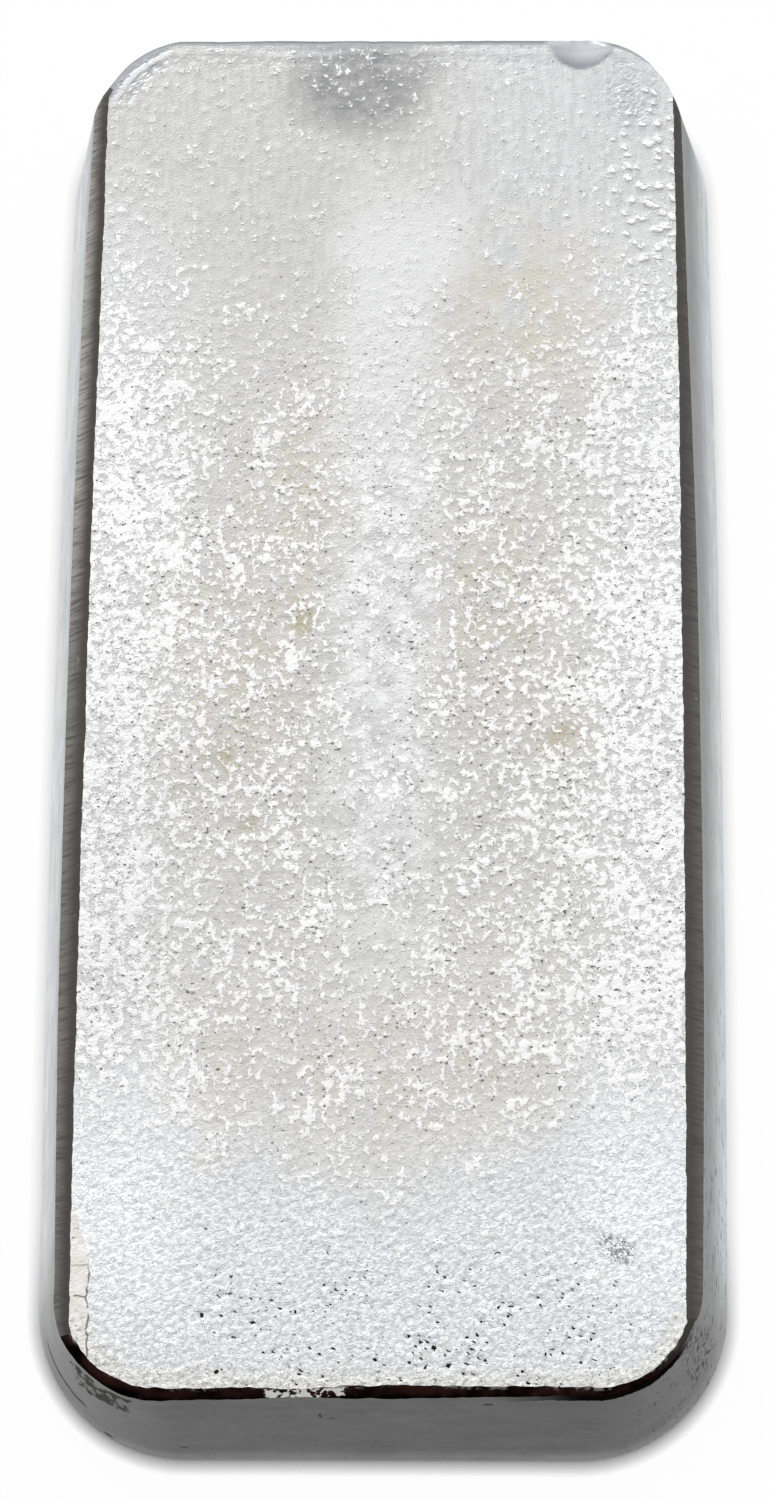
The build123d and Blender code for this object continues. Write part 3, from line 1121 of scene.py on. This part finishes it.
skin = bpy.data.node_groups.new("cast_skin", "GeometryNodeTree")
skin.is_modifier = True
skin.interface.new_socket("Geometry", in_out="INPUT", socket_type="NodeSocketGeometry")
for name in HEIGHTS:
    skin.interface.new_socket(name, in_out="INPUT", socket_type="NodeSocketFloat")
skin.interface.new_socket("Geometry", in_out="OUTPUT", socket_type="NodeSocketGeometry")
given = skin.nodes.new("NodeGroupInput").outputs
position = put(skin, "GeometryNodeInputPosition").outputs[0]
place = stretched(skin, position, (1 / MM, 1 / MM, 1 / MM))
mask = face_marks(skin, place)
face_zones(skin, place, mask)
outline_zones(skin, place, mask)
grain_zones(skin, place, mask)
grain = cast_grain(skin, place, mask, RELIEF_DETAIL)


def along_normal(height):
    """A step along the normal of the surface, by a height in mm."""
    normal = put(skin, "GeometryNodeInputNormal").outputs[0]
    values = {0: normal, "Scale": calc(skin, "MULTIPLY", height, MM)}
    return put(skin, "ShaderNodeVectorMath", values, operation="SCALE").outputs[0]


lift = both(skin, grain["flake"], given["Flake Height"])
raises = (grain["pebble"], given["Pebble Height"]), (grain["wrinkle"], given["Wrinkle Height"])
lift = calc(skin, "SUBTRACT", plus(skin, lift, *raises), both(skin, grain["pit"], given["Pit Depth"]))
upward = put(skin, "ShaderNodeCombineXYZ", {2: calc(skin, "MULTIPLY", lift, MM)}).outputs[0]
ripple = both(skin, swing(skin, place, 0.14, 2, space="3D"), given["Wall Ripple"])
ripple = both(skin, ripple, slope(skin, xyz(skin, place)[2], 1.0, 5.0))
crust = both(skin, swing(skin, place, 1.1, 2, space="3D"), given["Rim Crust"])
offsets = {CAST: upward, WALL: along_normal(ripple), DARK_RIM: along_normal(crust)}
print("zones that move:", len(offsets))

# %% [markdown]
# The geometry then goes through a chain of nodes. The zones are stored on its points, the faces of each zone
# are moved, and at the end every zone takes its material.

# %% Chain of the skin
def in_zone(number):
    """True on the faces of a zone."""
    zone = put(skin, "GeometryNodeInputNamedAttribute", {"Name": "zone"}, data_type="INT")
    values = {2: zone.outputs["Attribute"], 3: number}
    return put(skin, "FunctionNodeCompare", values, data_type="INT", operation="EQUAL").outputs[0]


shape = given["Geometry"]
for name in STORED:
    values = {"Geometry": shape, "Name": "skin_" + name, "Value": mask[name]}
    store = put(skin, "GeometryNodeStoreNamedAttribute", values, data_type="FLOAT", domain="POINT")
    shape = store.outputs[0]
for number, offset in offsets.items():
    values = {"Geometry": shape, "Selection": in_zone(number), "Offset": offset}
    shape = put(skin, "GeometryNodeSetPosition", values).outputs[0]
shape = put(skin, "GeometryNodeRealizeInstances", {0: shape}).outputs[0]
for number, material in finishes.items():
    values = {"Geometry": shape, "Selection": in_zone(number), "Material": material}
    shape = put(skin, "GeometryNodeSetMaterial", values).outputs[0]
put(skin, "NodeGroupOutput", {"Geometry": shape})
print("nodes in the skin:", len(skin.nodes))

# %% [markdown]
# The modifier is worked out once and its result is kept as a plain mesh, because that is what the export
# takes. The new piece rides the only body and is shown in place of the solid.

# %% Grow the skin and keep the result
carrier = bpy.data.objects.new("ingot_blank", blank)
bpy.context.collection.objects.link(carrier)
modifier = carrier.modifiers.new("cast_skin", "NODES")
modifier.node_group = skin
for socket in skin.interface.items_tree:
    if socket.in_out == "INPUT" and socket.name in HEIGHTS:
        modifier[socket.identifier] = HEIGHTS[socket.name]
bpy.context.view_layer.update()
evaluated = carrier.evaluated_get(bpy.context.evaluated_depsgraph_get())
skinned = bpy.data.meshes.new_from_object(evaluated)
skinned.name = "ingot_skin"
carrier.modifiers.remove(modifier)
bpy.data.objects.remove(carrier)
ingot = bpy.data.objects.new("ingot_skin", skinned)
bpy.context.collection.objects.link(ingot)
heights = np.array([v.co.z for v in skinned.vertices[: grid_number.size]]) / MM
print("face heights, mm:", np.round([heights.min(), heights.mean(), heights.max()], 3))

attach(ingot, "root")
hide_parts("ingot")

# %% [markdown]
# ## Floor, light and camera
# The floor is white card. Most of its white is its own light, seen by the camera and by the metal, so that
# it stays white. The bar still shades it a little over a wide area. In the narrow gap at its foot an Ambient
# Occlusion node finds how much of the nearest surroundings is free, and the card's own light is dimmed by
# it, a painted shadow that is darkest at the near end.

# %% Floor
FLOOR_SIDE = 3.0
FLOOR_WHITE = (0.96, 0.96, 0.96, 1)
FLOOR_GLOW = 0.96
SHADE_REACH = 0.0014
FAR_SHADE = 0.5
NEAR_SHADE = 1.7

half = FLOOR_SIDE / 2
corners = [(-half, -half, 0), (half, -half, 0), (half, half, 0), (-half, half, 0)]
floor_mesh = bpy.data.meshes.new("floor")
floor_mesh.from_pydata(corners, [], [(0, 1, 2, 3)])
floor = bpy.data.objects.new("floor", floor_mesh)
bpy.context.collection.objects.link(floor)
card = bpy.data.materials.new("white_card")
card.use_nodes = True
tree = card.node_tree
tree.nodes.clear()
ray = put(tree, "ShaderNodeLightPath").outputs
seen = most(tree, ray["Is Camera Ray"], ray["Is Glossy Ray"], ray["Is Transmission Ray"])
paper = put(tree, "ShaderNodeBsdfDiffuse", {"Color": FLOOR_WHITE}).outputs[0]
free = put(tree, "ShaderNodeAmbientOcclusion", {"Distance": SHADE_REACH}, samples=4).outputs["AO"]
along_bar = xyz(tree, place_mm(tree))[1]
# Painted shadow: the card's own light is dimmed in the gap, most at the near end.
shade = calc(tree, "POWER", free, slope(tree, along_bar, -40.0, -58.0, FAR_SHADE, NEAR_SHADE))
glow = put(tree, "ShaderNodeEmission", {"Color": (1, 1, 1, 1), "Strength": shade}).outputs[0]
values = {0: calc(tree, "MULTIPLY", seen, FLOOR_GLOW), 1: paper, 2: glow}
put(tree, "ShaderNodeOutputMaterial", {0: put(tree, "ShaderNodeMixShader", values).outputs[0]})
floor_mesh.materials.append(card)

# %% [markdown]
# The light is a pale sky that is brighter at the far end, with one large soft box, so that the small slopes
# of the skin catch it. The camera sees the sky as plain white.

# %% Light
SKY_NEAR = 0.5
SKY_FAR = 1.23
BOX_PLACE = (-0.2, 0.65, 0.32)
BOX_SIDE = 0.4
BOX_POWER = 1.2

world = bpy.data.worlds.new("studio")
bpy.context.scene.world = world
world.use_nodes = True
tree = world.node_tree
tree.nodes.clear()
direction = put(tree, "ShaderNodeTexCoord").outputs["Generated"]
sky = slope(tree, xyz(tree, direction)[1], -1.0, 1.0, SKY_NEAR, SKY_FAR)
seen = put(tree, "ShaderNodeLightPath").outputs["Is Camera Ray"]
values = {"Color": (1, 1, 1, 1), "Strength": between(tree, seen, sky, 1.0)}
put(tree, "ShaderNodeOutputWorld", {0: put(tree, "ShaderNodeBackground", values).outputs[0]})

lamp = bpy.data.lights.new("far_box", "AREA")
lamp.size = BOX_SIDE
lamp.energy = BOX_POWER
box = bpy.data.objects.new("far_box", lamp)
box.location = BOX_PLACE
box.rotation_euler = (-box.location).to_track_quat("-Z", "Y").to_euler()
bpy.context.collection.objects.link(box)

# %% [markdown]
# The camera stands where the one in the photo stood: high above the near end, tilted a little forward. Its
# focal length is known in pixels. Blender lays the sensor's width along the longer side of the picture,
# here its height, and that turns the pixels into millimetres.

# %% Camera
CAMERA_MM = (7.04, -118.16, 347.68)
CAMERA_TURNS = (18.59, 1.137, 0.061)
FOCAL_PIXELS = 4300
PHOTO_HEIGHT = 1500

camera_data = bpy.data.cameras.new("camera")
camera_data.sensor_width = 36.0
camera_data.lens = camera_data.sensor_width * FOCAL_PIXELS / PHOTO_HEIGHT
camera_data.clip_start = 0.01
camera = bpy.data.objects.new("camera", camera_data)
pose = Matrix.Translation([v * MM for v in CAMERA_MM])
for axis, degrees in zip("XYZ", CAMERA_TURNS):
    pose = pose @ Matrix.Rotation(radians(degrees), 4, axis)
camera.matrix_world = pose
bpy.context.collection.objects.link(camera)
bpy.context.scene.camera = camera
bpy.context.scene.view_settings.view_transform = "Standard"
